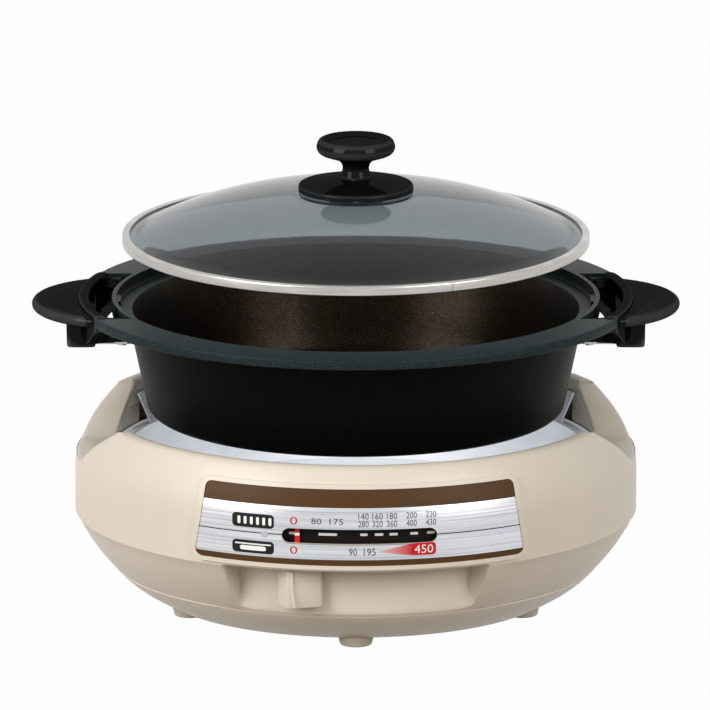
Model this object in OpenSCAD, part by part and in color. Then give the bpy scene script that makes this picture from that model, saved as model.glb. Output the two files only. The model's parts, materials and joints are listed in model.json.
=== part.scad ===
// Electric skillet: a round heating base with a front heat lever, a lift-out deep pan
// with two side handles, and a banded glass lid with a mushroom knob.
// The pan and the lid stand lifted above the base. Both lower straight down to their seats.
// The origin is on the table under the middle of the base, with the control panel towards -Y.

/* [Housing] */
// Diameter of the belt, the widest part of the housing
housing_d = 393; // [370:1:420]
// Height of the seated pan's floor above the table
pan_low = 64.3; // [60:0.1:72]
// Radius of the rounded crest
crest_round = 7.5; // [6:0.5:9]
// Height of the belt's lower edge
belt_z = 69; // [66:1:74]
// Inward step under the belt's lower edge
belt_step = 1.2; // [0.6:0.2:2]
// Lean of the shoulder from upright, in degrees
shoulder_tilt = 27; // [24:1:30]
// Radius of the bend from belt to shoulder
shoulder_bend = 70; // [55:1:75]
// Outward swell of the belly between crease and belt
belly_sag = 2; // [1:0.5:4]
// Height of the crease round the belly
crease_z = 31; // [28:1:36]
// Inward run from the belt to the crease
crease_inset = 27; // [25:0.5:29]
// Height of the small step above the crease
crease_step = 0.4; // [0.2:0.2:1.6]
// Inward run from the belt to the knee, where the belly turns under
knee_inset = 47.5; // [44:0.5:52]
// Rise of the knee above the flat underside
knee_rise = 7; // [5:0.5:10]
// Inward run from the knee to the flat underside
floor_inset = 13; // [10:0.5:18]
// Wall thickness of the moulded housing
shell_t = 3; // [2.5:0.1:3.5]
// Height of the short skirt inside the crest
skirt_h = 10; // [6:1:14]

/* [Feet and bottom cover] */
// Height of the feet
foot_h = 8; // [7:0.5:10]
// Diameter of a foot where it meets the housing
foot_d = 26; // [20:1:28]
// Taper of a foot on its radius
foot_taper = 2; // [1:0.5:4]
// Inward run from the edge of the flat underside to the middle of a foot
foot_inset = 14; // [13:0.5:20]
// Number of feet
foot_count = 5; // [4:1:5]
// Thickness of the bottom cover
cover_t = 2.5; // [2:0.1:3]
// Overlap of the cover on the housing's underside
cover_lap = 9; // [8:0.5:10]
// Room between the cover and the feet
cover_room = 2; // [1:0.5:4]
// Length of a vent slot in the cover
vent_l = 34; // [20:1:40]
// Width of a vent slot
vent_w = 4; // [3:0.5:6]

/* [Handle notches] */
// Width of each side notch at the crest
notch_w = 156; // [150:1:164]
// Width of the notch's flat floor
notch_floor_w = 68; // [66:1:76]
// Depth of the notch below the crest
notch_depth = 31; // [30:0.5:34]
// Radius of the notch's lower corners
notch_round = 14; // [8:1:18]
// Radius of the ears beside the notch
notch_ear = 24; // [12:1:30]

/* [Control panel] */
// Height of the panel's lower edge above the belt's lower edge
panel_low = 5.5; // [5:0.5:9]
// Height of the panel
panel_h = 53.4; // [46:0.2:54]
// Width of the panel along its lower edge
panel_w = 230; // [220:1:238]
// Shift of the panel and its slot to the right of the middle
panel_shift = 2.5; // [0:0.1:4]
// Inward lean of each panel end
panel_lean = 8.5; // [5:0.5:11]
// Corner radius of the panel
panel_round = 5; // [3:0.5:7]
// Thickness of the panel
panel_t = 0.8; // [0.6:0.1:1.1]
// Height of the moulded frame round the panel
frame_t = 1.4; // [1.2:0.1:2]
// Width of the moulded frame
frame_w = 3; // [2:0.5:4]
// Length of the pointer slot
slot_l = 108; // [102:1:112]
// Height of the pointer slot
slot_h = 11; // [9:0.5:12]
// Height of the slot's middle above the panel's lower edge
slot_rise = 20.4; // [18:0.2:22]
// Diameter of the pilot lens
pilot_d = 5.3; // [4:0.1:6]
// Angle of the pilot lens left of the middle
pilot_angle = 18.7; // [18.2:0.1:20]

/* [Heat lever] */
// Depth of the lever recess into the belt
recess_depth = 25.5; // [22:0.5:28]
// Half angle of the lever recess
recess_angle = 28.2; // [26:0.2:30]
// Angle of the lever at rest, from the middle
lever_rest = -12.2; // [-13:0.1:-11]
// Swing of the lever
lever_travel = 25.4; // [20:0.1:25.4]
// Width of the lever arm
arm_w = 10; // [8:0.5:12]
// Thickness of the lever arm
arm_t = 3; // [2:0.5:4]
// Depth of the arm's tab in the grip
arm_tab = 12; // [8:0.5:16]
// Width of the lever grip
grip_w = 31; // [26:1:34]
// Height of the lever grip
grip_h = 27; // [22:1:29]
// Outward reach of the grip's ridge
grip_reach = 17; // [13:0.5:20]
// Diameter of the thermostat spindle
spindle_d = 6; // [5:0.5:8]
// Radial running clearance of the spindle
spindle_gap = 0.05; // [0.02:0.01:0.1]
// Width of the red pointer
pointer_w = 3.4; // [2.5:0.1:4]

/* [Heat liner] */
// Thickness of the aluminium sheets
sheet_t = 0.8; // [0.6:0.1:1]
// Room between the seated pan's wall and the dish
dish_gap = 5.5; // [4.5:0.5:7]
// Depth of the dish's floor below the seated pan
dish_drop = 19; // [18:0.5:22]
// Inward run of the dish's lower slope
dish_slope = 21; // [15:1:26]
// Room between the dish's floor and the heat shield
shield_drop = 4.5; // [4:0.5:6]
// Inward run from the pan's floor edge to the heating ring
heater_inset = 52; // [40:1:60]
// Diameter of the heating tube
tube_d = 8; // [6:0.5:9]
// Half angle of the ring's open part at the back
heater_gap = 20; // [14:1:26]
// Diameter of the sensor cap
sensor_d = 24.6; // [20:0.1:28]
// Travel of the sprung sensor
sensor_travel = 3; // [2:0.5:4]

/* [Pan] */
// Overall depth of the pan
pan_depth = 82; // [78:1:86]
// Inward step from the belt to the flange's edge
flange_inset = 2; // [0:0.5:4]
// Width of the flange
flange_w = 27; // [25:0.5:30]
// Thickness of the flange
flange_t = 4; // [3:0.5:5]
// Height of the flange's turned-down lip
lip_h = 7; // [6:0.5:9]
// Thickness of that lip
lip_t = 4; // [3:0.5:6]
// Thickness of the rim wall at the handles
rim_t = 3.2; // [2.5:0.1:4]
// Depth of the lid ledge below the flange
ledge_drop = 8; // [7:0.5:10]
// Width of the lid ledge
ledge_w = 11; // [9:0.5:13]
// Thickness under the lid ledge
ledge_t = 4; // [3:0.5:5]
// Lean of the pan's wall, in degrees
wall_taper = 12; // [8:1:14]
// Thickness of the pan's wall
pan_t = 4; // [3:0.5:5]
// Thickness of the pan's floor
pan_floor_t = 5; // [4:0.5:6]
// Outer corner radius of the pan's floor
pan_corner = 8; // [6:0.5:10]
// Width of the flange's cut-outs for the handles
cut_w = 138; // [134:1:142]
// Width of a centring lug on the lid ledge
lug_w = 20; // [14:1:24]
// Inward reach of a centring lug
lug_t = 3; // [2:0.5:4]
// Height that the pan stands above its seat
pan_lift = 74; // [10:1:100]

/* [Handles] */
// Outward reach of a handle beyond the flange
handle_reach = 32.2; // [28:0.2:38]
// Radius of the rounded grip plate
grip_round = 67; // [62:1:70]
// Thickness of the grip plate
plate_t = 8; // [7:0.5:10]
// Thickness of the collar beside the flange
collar_t = 8; // [7:0.5:10]
// Height of the collar
collar_h = 24; // [20:1:26]
// Rise of the collar above the flange
collar_rise = 1.5; // [0.5:0.5:3]
// Depth of the pocket between the collar and the pan
tray_drop = 12; // [9:0.5:14]
// Depth of the handle's leg below the flange
leg_drop = 30; // [28:1:32]
// Width of the leg along the rim
leg_w = 60; // [50:1:70]
// Thickness of the leg
leg_t = 21; // [19:1:24]
// Thickness of the steel strap under the leg
strap_t = 1.5; // [1:0.1:2]
// Width of the strap
strap_w = 26; // [22:1:30]

/* [Lid] */
// Rise of the glass above its rim
lid_rise = 32.5; // [26:0.5:40]
// Sharpness of the dome's edge
dome_power = 2.3; // [2:0.1:2.8]
// Thickness of the glass
glass_t = 4; // [3.5:0.1:5]
// Thickness of the steel band
band_t = 1.5; // [1:0.1:2]
// Width of the band over the glass
band_lap = 5; // [4:0.5:6]
// Height that the lid stands above its seat
lid_lift = 46; // [10:1:80]
// Diameter of the knob's base
knob_base_d = 80.4; // [70:0.2:84]
// Edge height of the knob's base
knob_edge_h = 4.5; // [3:0.5:6]
// Height of the knob's base
knob_base_h = 9; // [7:0.5:11]
// Diameter of the knob's stem
stem_d = 18.4; // [16:0.2:22]
// Height of the knob's cap above the base
cap_h = 28; // [24:0.5:32]
// Diameter of the knob's cap
cap_d = 56.5; // [50:0.5:60]
// Radius of the rounded side of the knob's cap
cap_round = 5.5; // [3:0.5:6]
// Depth of the dish in the cap's top
cap_dish = 2.5; // [1:0.5:4]
// Diameter of the clamp washer under the glass
washer_d = 51; // [40:1:60]

/* [Hidden] */
$fn = 96;

// Colours
beige = "#DED5C7";
aluminium = "#BEC3CD";
steel = "#C8C3BE";
black = "#232628";
red = "#CD1E28";
glass = "#7D8589";
ceramic = "#E8E4DC";

// Clearances
seat_gap = 0.3;
rim_gap = 0.5;
lid_gap = 1;
run_gap = 0.3;

// Common fasteners
screw_r = 1.5;
head_r = 3.2;
head_h = 1.6;
dish_screw_l = 10;
handle_screw_l = 7;

// Pan, in heights below the top of its flange
housing_r = housing_d/2;
flange_r = housing_r - flange_inset;
rim_r = flange_r - flange_w;
rim_out = rim_r + rim_t;
ledge_r = rim_r - ledge_w;
step_z = ledge_drop + ledge_t;
pan_seat = pan_low + pan_depth;
pan_top = pan_seat + pan_lift;
function wall_in(d) = ledge_r - (d - ledge_drop)*tan(wall_taper);
function wall_out(d) = wall_in(d) + pan_t/cos(wall_taper);

// Housing
lip_r = rim_out + rim_gap;
crest_r = lip_r + crest_round;
crest_z = pan_seat - flange_t - seat_gap;
crest_mid = crest_z - crest_round;
skirt_z = crest_mid - skirt_h;
shoulder_top = [crest_r + crest_round*cos(shoulder_tilt), crest_mid + crest_round*sin(shoulder_tilt)];
bend_r = housing_r - shoulder_bend*(1 - cos(shoulder_tilt));
bend_z = shoulder_top[1] - (bend_r - shoulder_top[0])/tan(shoulder_tilt);
belt_top = bend_z - shoulder_bend*sin(shoulder_tilt);
sill_z = crest_z - notch_depth;
notch_reach = 22;
notch_angle = asin((notch_w/2 + shell_t)/lip_r);
ear_far = notch_w/2 + 2*notch_ear;
ear_rise = 6;
knee_r = housing_r - knee_inset;
floor_r = knee_r - floor_inset;
foot_circle_r = floor_r - foot_inset;
ring_r = foot_circle_r - foot_d/2 - cover_room - cover_lap;
cover_r = ring_r + cover_lap;
cover_screw_r = ring_r + cover_lap/2;
post_r = 5;
post_step = 2;
post_circle_r = foot_circle_r - post_r - post_step;
post_turn = 45;
post_count = 4;

// Control panel
panel_z = belt_z + panel_low;
slot_z = panel_z + slot_rise;
wall_r = housing_r - shell_t;
strip_depth = 4.3;
strip_t = 1.2;
strip_r = wall_r - strip_depth;
strip_angle = asin(slot_l/2/housing_r) + 0.4;
strip_turn = asin(panel_shift/housing_r);
strip_end = 1.2;
strip_z = slot_z - slot_h/2 - 2;
strip_top = slot_z + slot_h/2 + 2;
pilot_root = 6;

// Heat liner
dish_floor = pan_low - dish_drop;
dish_top_r = wall_out(pan_seat - sill_z) + dish_gap;
dish_low_z = pan_low + 3;
dish_low_r = wall_out(pan_depth - 3) + dish_gap;
dish_floor_r = dish_low_r - dish_slope;
guard_top = pan_seat - step_z - 1.3;
guard_top_r = lip_r - 1.6;
guard_low_r = dish_top_r + 1.5;
guard_foot = 4;
guard_strip = 1.2;
guard_room = 6;
guard_cut = notch_w - 2*guard_room;
shield_z = dish_floor - sheet_t - shield_drop;
shield_r = post_circle_r + 12;
shield_hole = 6;
heater_r = wall_out(pan_depth) - heater_inset;
tube_r = tube_d/2;
heater_z = pan_low - 0.5 - tube_r;
pin_r = 1.6;
pin_l = 10;
tube_end_z = dish_floor - 12;
tube_hole_gap = 0.5;
heater_leg_w = 8;
heater_leg_t = 3;
sensor_top = pan_low - seat_gap;
sensor_r = sensor_d/2;
holder_in = sensor_r + run_gap;
holder_out = holder_in + 2.4;
holder_flange_r = holder_out + 7;
holder_t = 1.5;
holder_z = dish_floor - 4;
holder_top = dish_floor + 11;
cap_t = 3;
spring_z = holder_z + holder_t;
skirt_room = 5;
cap_skirt = sensor_top - spring_z - sensor_travel - skirt_room;
cap_wall = 2.8;
spring_top = sensor_top - cap_t;
spring_wire = 0.9;
spring_r = sensor_r - cap_wall - spring_wire - 2*run_gap;
spring_turns = 5;

// Heat lever
recess_r = housing_r - recess_depth;
recess_top = belt_z + 0.5;
spindle_r = spindle_d/2;
arm_z = dish_floor - 12.3;
arm_gap = 1;
arm_out_z = recess_top + shell_t + arm_gap;
riser_r = recess_r - shell_t - 3*arm_t;
hub_r = spindle_r + 6;
tab_r = recess_r + 6;
grip_back = 2;
grip_gap = 2.3;
grip_top = recess_top - grip_gap;
grip_z = grip_top - grip_h;
arm_half_angle = asin(arm_w/2/recess_r) + 1;
pointer_t = 2;
pointer_r = wall_r - run_gap - pointer_t;
bush_r = 6;
thermostat_l = 44;
thermostat_w = 36;
thermostat_h = 18;
bore_z = foot_h + 7;

// Inlet at the back
inlet_w = 32;
inlet_h = 20;
inlet_z = belt_z + 14;
inlet_front = housing_r - 2.2;
inlet_depth = 28;
inlet_wall = 3;
inlet_cup = 16;
inlet_flange = 4;
inlet_flange_t = 3;
pad_side = 8;
pad_t = 8;
pad_y = housing_r - pad_t - shell_t;
blade_r = 2.2;
blade_pitch = 13;
lead_r = 1.5;
lead_sides = 12;
block_y = 66;
block_l = 40;
block_w = 16;
block_h = 12;
lead_x = 8;

// Handles
reach = flange_r + handle_reach;
plate_x = reach - grip_round;
collar_out = flange_r;
collar_in = collar_out - collar_t;
collar_gap = 1;
collar_w = cut_w - 2*collar_gap;
tray_gap = 5;
tray_in = rim_out + tray_gap;
tray_lap = 3;
pocket_w = collar_w - 2*collar_t;
plate_drop = 1;
leg_x = collar_in - 5;
lug_out = rim_out - 3;
lug_in = wall_in(leg_drop) + 1.5;
strap_in = lug_in + 4;
strap_out = leg_x + leg_t - 2;
strap_screw_y = strap_w/2 - 6;

// Lid
lid_r = rim_r - lug_t - lid_gap;
lid_z = pan_top - ledge_drop + seat_gap + lid_lift;
glass_r = lid_r - band_t;
rim_top = band_t + glass_t;
band_h = rim_top + band_t;
dome_r = lid_r - band_lap - 1.5;
knob_base_r = knob_base_d/2;
knob_seat_r = knob_base_r + 1;
seat_drop = pow(knob_seat_r/dome_r, dome_power);
knob_z = rim_top + lid_rise;
stem_r = stem_d/2;
cap_r = cap_d/2;
washer_t = 2;
gasket_t = 1;
knob_bolt_r = 2.5;
bolt_head_r = 7;
bolt_head_h = 3;
bolt_l = 16;

arc_steps = 5;

// Points and outlines
function polar(r, a) = [r*cos(a), r*sin(a)];
function unit(v) = v/norm(v);
function left_of(v) = [-v[1], v[0]];
function reversed(p) = [for (i = [len(p) - 1:-1:0]) p[i]];
function arc_points(c, r, a0, a1, n) = [for (i = [0:n]) c + polar(r, a0 + (a1 - a0)*i/n)];
function bulge_points(p, q, sag, n) =
    [for (i = [0:n]) let (k = i/n) p + (q - p)*k - left_of(unit(q - p))*4*sag*k*(1 - k)];

// A path moved sideways by t, to its left
function side(p, i) = left_of(unit(p[i + 1] - p[i]));
function mitre(p, i) =
    let (last = len(p) - 1, a = side(p, max(i - 1, 0)), b = side(p, min(i, last - 1)))
    (a + b)/(1 + a*b);
function shift_path(p, t) = [for (i = [0:len(p) - 1]) p[i] + mitre(p, i)*t];
function sheet(p, t) = concat(p, reversed(shift_path(p, t)));

// An outline with each corner i rounded to radius r[i]
function corner(p, i, r) =
    let (n = len(p),
         a = unit(p[(i + n - 1) % n] - p[i]),
         b = unit(p[(i + 1) % n] - p[i]),
         half = acos(a*b)/2,
         m = p[i] + unit(a + b)*r/sin(half),
         s = p[i] + a*r/tan(half) - m,
         e = p[i] + b*r/tan(half) - m,
         start = atan2(s[1], s[0]),
         turn = atan2(s[0]*e[1] - s[1]*e[0], s*e))
    [for (k = [0:arc_steps]) m + polar(r, start + turn*k/arc_steps)];
function rounded(p, r) = [for (i = [0:len(p) - 1]) each (r[i] > 0 ? corner(p, i, r[i]) : [p[i]])];
function rounded_box(w, h, r) =
    rounded([[-w/2, -h/2], [w/2, -h/2], [w/2, h/2], [-w/2, h/2]], [r, r, r, r]);

// Housing outline from the underside's opening, up the belly, over the crest and down the skirt
knee = [knee_r, foot_h + knee_rise];
crease = [housing_r - crease_inset, crease_z];
shoulder_line = arc_points([housing_r - shoulder_bend, belt_top], shoulder_bend, 0, shoulder_tilt, 6);
underside = [[ring_r, foot_h], [floor_r, foot_h]];
upper_line = concat(
    shoulder_line,
    arc_points([crest_r, crest_mid], crest_round, shoulder_tilt, 180, 10),
    [[lip_r, skirt_z]]);
belly_low = crease + [-crease_step, crease_step];
belly_high = [housing_r - belt_step, belt_z - belt_step];
outer_line = concat(
    underside, bulge_points(knee, crease, belly_sag/2, 4),
    bulge_points(belly_low, belly_high, belly_sag, 6), [[housing_r, belt_z]], upper_line);
plain_line = concat(underside, bulge_points(knee, [housing_r, belt_z], belly_sag, 8), upper_line);
panel_line = concat([[housing_r, belt_z + 0.5]], shoulder_line);
panel_lines = [
    [-panel_w/2, panel_z], [panel_w/2, panel_z],
    [panel_w/2 - panel_lean, panel_z + panel_h], [-panel_w/2 + panel_lean, panel_z + panel_h]];
panel_outline = rounded(panel_lines, [panel_round, panel_round, panel_round, panel_round]);
frame_round = panel_round + frame_w;
frame_outline = rounded(
    [[-panel_w/2 - frame_w, panel_z - frame_w], [panel_w/2 + frame_w, panel_z - frame_w],
     [panel_w/2 - panel_lean + frame_w, panel_z + panel_h + frame_w],
     [-panel_w/2 + panel_lean - frame_w, panel_z + panel_h + frame_w]],
    [frame_round, frame_round, frame_round, frame_round]);

module sector(a0, a1) {
    rotate([0, 0, a0]) rotate_extrude(angle = a1 - a0) children();
}

module front_sector(half) {
    sector(-90 - half, -90 + half) children();
}

module through_front() {
    translate([panel_shift, 0, 0]) rotate([90, 0, 0]) linear_extrude(housing_d) children();
}

module ring_of(count, r, first) {
    for (i = [0:count - 1]) rotate([0, 0, first + 360/count*i]) translate([r, 0, 0]) children();
}

module both_sides() {
    for (a = [0, 180]) rotate([0, 0, a]) children();
}

module lever_turn() {
    rotate([0, 0, -90 + lever_rest]) children();
}

module screw(length) {
    translate([0, 0, -length]) cylinder(r = screw_r, h = length);
    cylinder(r = head_r, h = head_h);
}

// Housing
module housing_fill() {
    rotate_extrude() polygon(concat(outer_line, [[0, skirt_z - 20], [0, foot_h]]));
}

module housing_hollow() {
    inner_line = shift_path(plain_line, shell_t);
    rotate_extrude() polygon(concat([[0, foot_h - 1], [ring_r, foot_h - 1]], inner_line, [[0, skirt_z]]));
}

module panel_band(inside, outside) {
    front_sector(45) polygon(sheet(shift_path(panel_line, inside), -inside - outside));
}

module panel_frame() {
    difference() {
        intersection() {
            panel_band(shell_t/2, frame_t);
            through_front() polygon(frame_outline);
        }
        through_front() polygon(panel_outline);
    }
}

// The notch's outline, in heights above its floor, moved outwards by grow
function notch_line(grow) = shift_path(
    [[-ear_far, notch_depth + ear_rise], [-notch_w/2, notch_depth], [-notch_floor_w/2, 0],
     [notch_floor_w/2, 0], [notch_w/2, notch_depth], [ear_far, notch_depth + ear_rise]], -grow);

module along_notch(length) {
    translate([0, 0, sill_z]) rotate([90, 0, 90]) linear_extrude(length) children();
}

module notch_prism(grow) {
    low = notch_round + grow;
    ear = notch_ear - grow;
    top = 2*notch_depth;
    outline = rounded(
        concat(notch_line(grow), [[ear_far, top], [-ear_far, top]]), [0, ear, low, low, ear, 0, 0, 0]);
    both_sides() translate([lip_r - notch_reach, 0, 0]) along_notch(3*notch_reach) polygon(outline);
}

module recess_wedge(grow) {
    front_sector(recess_angle + grow/recess_r*180/PI)
        translate([recess_r - grow, foot_h]) square([recess_depth + grow + 10, recess_top + grow - foot_h]);
}

// Wall between each notch and the well, as a longer skirt
module notch_wall() {
    both_sides() sector(-notch_angle, notch_angle)
        translate([lip_r + rim_gap, sill_z - shell_t]) square([shell_t, crest_mid - sill_z]);
}

module dish_posts() {
    top = dish_floor - sheet_t;
    ring_of(post_count, post_circle_r, post_turn) translate([0, 0, foot_h]) {
        cylinder(r = post_r, h = top - foot_h);
        cylinder(r = post_r + post_step, h = shield_z - foot_h);
    }
}

module inlet_pad() {
    w = inlet_w + 2*pad_side;
    h = inlet_h + 2*pad_side;
    translate([-w/2, pad_y, inlet_z - h/2]) cube([w, housing_r - pad_y, h]);
}

module housing_inside() {
    difference() {
        housing_hollow();
        difference() {
            notch_prism(shell_t);
            cylinder(r = lip_r, h = 2*crest_z);
        }
        notch_wall();
        recess_wedge(shell_t);
        dish_posts();
        inlet_pad();
    }
}

module slot_outline() {
    for (x = [-1, 1]) translate([x*(slot_l - slot_h)/2, slot_z]) circle(d = slot_h);
    translate([-(slot_l - slot_h)/2, slot_z - slot_h/2]) square([slot_l - slot_h, slot_h]);
}

module pilot_bar(r0, r1, d) {
    rotate([0, 0, -90 - pilot_angle]) translate([r0, 0, slot_z])
        rotate([0, 90, 0]) cylinder(d = d, h = r1 - r0);
}

module lever_slot() {
    sector(-90 + lever_rest - arm_half_angle, -90 + lever_rest + lever_travel + arm_half_angle)
        translate([tab_r - arm_gap, recess_top - 1]) square([arm_t + 2*arm_gap, shell_t + 2]);
}

module inlet_hole() {
    translate([0, housing_r + 5, inlet_z]) rotate([90, 0, 0])
        linear_extrude(housing_r + 5 - pad_y + 5) polygon(rounded_box(inlet_w, inlet_h, 3));
}

module base_shell() {
    color(beige) difference() {
        union() {
            housing_fill();
            panel_frame();
        }
        housing_inside();
        notch_prism(0);
        recess_wedge(0);
        through_front() slot_outline();
        pilot_bar(wall_r - 5, housing_r + 5, pilot_d);
        lever_slot();
        inlet_hole();
        ring_of(post_count, post_circle_r, post_turn)
            translate([0, 0, dish_floor - dish_screw_l]) cylinder(r = screw_r, h = dish_screw_l + 2);
        ring_of(foot_count, cover_screw_r, -90 + 180/foot_count)
            translate([0, 0, foot_h - 1]) cylinder(r = screw_r, h = shell_t + 2);
    }
}

module bottom_cover() {
    vents = 12;
    color(beige) difference() {
        translate([0, 0, foot_h - cover_t]) cylinder(r = cover_r, h = cover_t);
        ring_of(vents, ring_r - vent_l, 180/vents) translate([0, 0, foot_h - cover_t - 1])
            linear_extrude(cover_t + 2) polygon(rounded_box(vent_l, vent_w, vent_w/2 - 0.05));
        ring_of(foot_count, cover_screw_r, -90 + 180/foot_count)
            translate([0, 0, foot_h - cover_t - 1]) cylinder(r = screw_r, h = cover_t + 2);
    }
}

module feet() {
    low_r = foot_d/2 - foot_taper;
    outline = rounded([[0, 0], [low_r, 0], [foot_d/2, foot_h], [0, foot_h]], [0, 1.5, 0, 0]);
    color(beige) ring_of(foot_count, foot_circle_r, -90) rotate_extrude() polygon(outline);
}

module cover_screws() {
    color(steel) ring_of(foot_count, cover_screw_r, -90 + 180/foot_count)
        translate([0, 0, foot_h - cover_t]) mirror([0, 0, 1]) screw(cover_t + shell_t);
}

// Heat liner
module reflector_dish() {
    line = [
        [lip_r - run_gap, sill_z], [dish_top_r, sill_z], [dish_low_r, dish_low_z],
        [dish_floor_r, dish_floor], [holder_out, dish_floor]];
    color(aluminium) difference() {
        rotate_extrude() polygon(sheet(line, sheet_t));
        for (s = [-1, 1]) rotate([0, 0, 90 + s*heater_gap]) translate([heater_r, 0, dish_floor - 5])
            cylinder(r = tube_r + tube_hole_gap, h = 10);
        ring_of(post_count, post_circle_r, post_turn)
            translate([0, 0, dish_floor - 5]) cylinder(r = screw_r, h = 10);
    }
}

module heat_guard() {
    foot_z = sill_z + sheet_t;
    line = [[guard_top_r, guard_top], [guard_low_r, foot_z], [guard_low_r + guard_foot, foot_z]];
    color(aluminium) difference() {
        rotate_extrude() polygon(sheet(line, -sheet_t));
        both_sides() translate([0, -guard_cut/2, sill_z + guard_strip]) cube([lip_r, guard_cut, notch_depth]);
    }
}

module heat_shield() {
    color(steel) difference() {
        translate([0, 0, shield_z]) cylinder(r = shield_r, h = sheet_t);
        translate([0, 0, shield_z - 1]) cylinder(r = shield_hole, h = sheet_t + 2);
        for (s = [-1, 1]) rotate([0, 0, 90 + s*heater_gap]) translate([heater_r, 0, shield_z - 1])
            cylinder(r = tube_r + tube_hole_gap, h = sheet_t + 2);
        ring_of(post_count, post_circle_r, post_turn)
            translate([0, 0, shield_z - 1]) cylinder(r = post_r, h = sheet_t + 2);
    }
}

module dish_screws() {
    color(steel) ring_of(post_count, post_circle_r, post_turn)
        translate([0, 0, dish_floor]) screw(dish_screw_l);
}

module heating_element() {
    leg_h = heater_z - dish_floor;
    color("#8A8782") union() {
        translate([0, 0, heater_z]) sector(90 + heater_gap, 450 - heater_gap)
            translate([heater_r, 0]) circle(r = tube_r);
        for (s = [-1, 1]) rotate([0, 0, 90 + s*heater_gap]) translate([heater_r, 0, 0]) {
            translate([0, 0, heater_z]) sphere(r = tube_r + 0.05);
            translate([0, 0, tube_end_z]) cylinder(r = tube_r, h = heater_z - tube_end_z);
        }
        ring_of(3, heater_r, -90) translate([-heater_leg_t/2, -heater_leg_w/2, dish_floor])
            cube([heater_leg_t, heater_leg_w, leg_h]);
    }
}

module heater_pins() {
    color(steel) for (s = [-1, 1]) rotate([0, 0, 90 + s*heater_gap])
        translate([heater_r, 0, tube_end_z - pin_l]) cylinder(r = pin_r, h = pin_l);
}

module sensor_holder() {
    color(steel) difference() {
        union() {
            translate([0, 0, holder_z]) cylinder(r = holder_out, h = holder_top - holder_z);
            translate([0, 0, dish_floor]) cylinder(r = holder_flange_r, h = holder_t);
        }
        translate([0, 0, spring_z]) cylinder(r = holder_in, h = holder_top - holder_z);
        translate([0, 0, holder_z - 1]) cylinder(r = 3, h = holder_t + 2);
    }
}

module sensor_spring() {
    color(steel) translate([0, 0, spring_z])
        linear_extrude(spring_top - spring_z, twist = -360*spring_turns, slices = 16*spring_turns, $fn = 6)
            translate([spring_r, 0]) circle(r = spring_wire, $fn = 6);
}

module sensor_cap() {
    color(aluminium) rotate_extrude() polygon(rounded(
        [[0, sensor_top], [sensor_r, sensor_top], [sensor_r, sensor_top - cap_skirt],
         [sensor_r - cap_wall, sensor_top - cap_skirt], [sensor_r - cap_wall, spring_top], [0, spring_top]],
        [0, 1.5, 0, 0, 0, 0]));
}

// Works under the dish
module thermostat() {
    bush_top = arm_z - run_gap;
    body_top = foot_h + thermostat_h;
    color(ceramic) difference() {
        union() {
            translate([0, 0, foot_h]) linear_extrude(thermostat_h)
                polygon(rounded_box(thermostat_l, thermostat_w, 4));
            translate([0, 0, body_top - 1]) cylinder(r = bush_r, h = bush_top - body_top + 1);
        }
        translate([0, 0, bore_z]) cylinder(r = spindle_r + spindle_gap, h = bush_top);
    }
}

module thermal_fuse() {
    under = shield_z;
    fuse_r = 2.5;
    fuse_l = 16;
    color(steel) translate([0, 56, under]) {
        translate([-fuse_l/2, -5, -1]) cube([fuse_l, 10, 1]);
        translate([-fuse_l/2 - 3, 0, -3]) rotate([0, 90, 0]) cylinder(r = fuse_r, h = fuse_l + 6);
    }
}

module terminal_block() {
    color(ceramic) translate([-block_l/2, block_y - block_w/2, foot_h]) cube([block_l, block_w, block_h]);
}

module rod_between(p, q, r) {
    d = q - p;
    translate(p) rotate([0, acos(d[2]/norm(d)), atan2(d[1], d[0])]) cylinder(r = r, h = norm(d));
}

module supply_leads() {
    back = inlet_front - inlet_depth;
    block_back = block_y + block_w/2;
    block_z = foot_h + block_h/2;
    color("#B8B2A6") for (s = [-1, 1]) {
        route = [
            [s*lead_x, back, inlet_z], [s*lead_x, back - 5, inlet_z],
            [s*lead_x, back - 18, dish_floor - 10],
            [s*lead_x, block_back + 12, block_z], [s*lead_x, block_back, block_z]];
        for (i = [1:len(route) - 1]) rod_between(route[i - 1], route[i], lead_r, $fn = lead_sides);
        for (i = [1:len(route) - 2]) translate(route[i]) sphere(r = lead_r, $fn = lead_sides);
    }
}

// Inlet at the back
module inlet_socket() {
    flange_w = inlet_w + 2*inlet_flange;
    flange_h = inlet_h + 2*inlet_flange;
    cup_w = inlet_w - 2*inlet_wall;
    cup_h = inlet_h - 2*inlet_wall;
    color(black) difference() {
        union() {
            translate([0, inlet_front, inlet_z]) rotate([90, 0, 0])
                linear_extrude(inlet_depth) polygon(rounded_box(inlet_w, inlet_h, 3));
            translate([0, pad_y, inlet_z]) rotate([90, 0, 0])
                linear_extrude(inlet_flange_t) polygon(rounded_box(flange_w, flange_h, 3));
        }
        translate([0, inlet_front + 1, inlet_z]) rotate([90, 0, 0])
            linear_extrude(inlet_cup + 1) polygon(rounded_box(cup_w, cup_h, 2));
    }
}

module inlet_pins() {
    color(steel) for (s = [-1, 1])
        translate([s*blade_pitch/2, inlet_front - 4, inlet_z])
            rotate([90, 0, 0]) cylinder(r = blade_r, h = inlet_cup - 4);
}

// Control panel
module control_panel() {
    color("#DCE1E6") difference() {
        intersection() {
            panel_band(0, panel_t);
            through_front() polygon(panel_outline);
        }
        through_front() slot_outline();
        pilot_bar(wall_r, housing_r + 5, pilot_d);
    }
}

module strip_stop(s) {
    a = -90 + s*(strip_angle + strip_end/2);
    half = 0.4*strip_end;
    root = strip_t/2;
    low = strip_z + root;
    sector(a - half, a + half) translate([strip_r + root, low]) square([strip_depth - root, belt_top - low]);
}

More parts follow.
